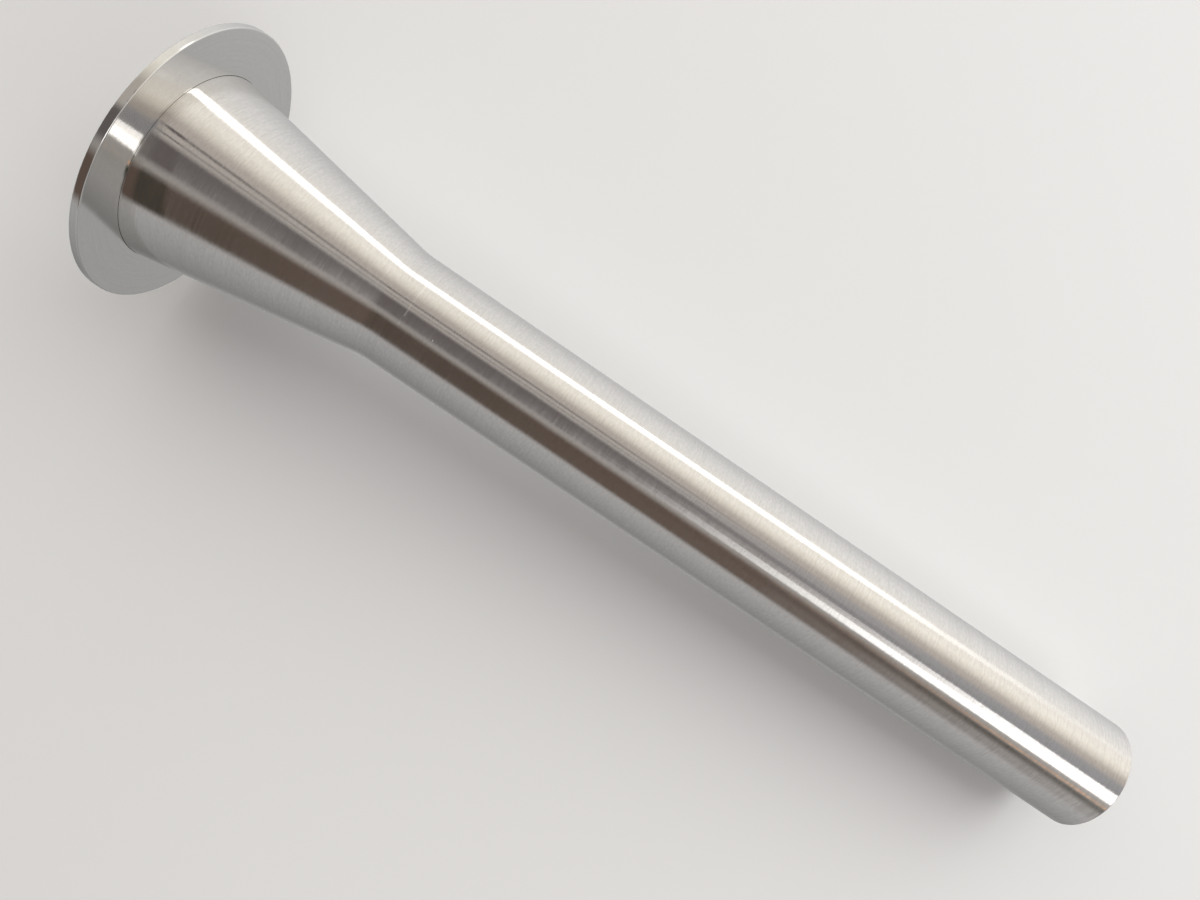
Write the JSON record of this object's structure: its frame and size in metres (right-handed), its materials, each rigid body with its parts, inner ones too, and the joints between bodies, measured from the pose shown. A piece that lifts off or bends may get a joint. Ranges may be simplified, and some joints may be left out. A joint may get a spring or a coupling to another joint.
{
  "type": "sausage stuffing tube",
  "caption": "Flanged stainless steel stuffing tube: a round disc, a short collar and a cone that narrows to a long straight tube, open at both ends, for filling sausage casings.",
  "frame": {"origin": "middle of the flange's back face, which the part stands on", "axes": "+Z along the tube's axis, from the flange to the tip; X and Y are free, because the part is turned"},
  "size_m": [0.054, 0.054, 0.2032],
  "materials": {
    "polished_stainless": "bright stainless steel, polished round the axis with fine hoop lines, and a mirror-bright flange"
  },
  "bodies": {
    "root": {"stuffing_tube": "polished_stainless"}
  },
  "joints": []
}
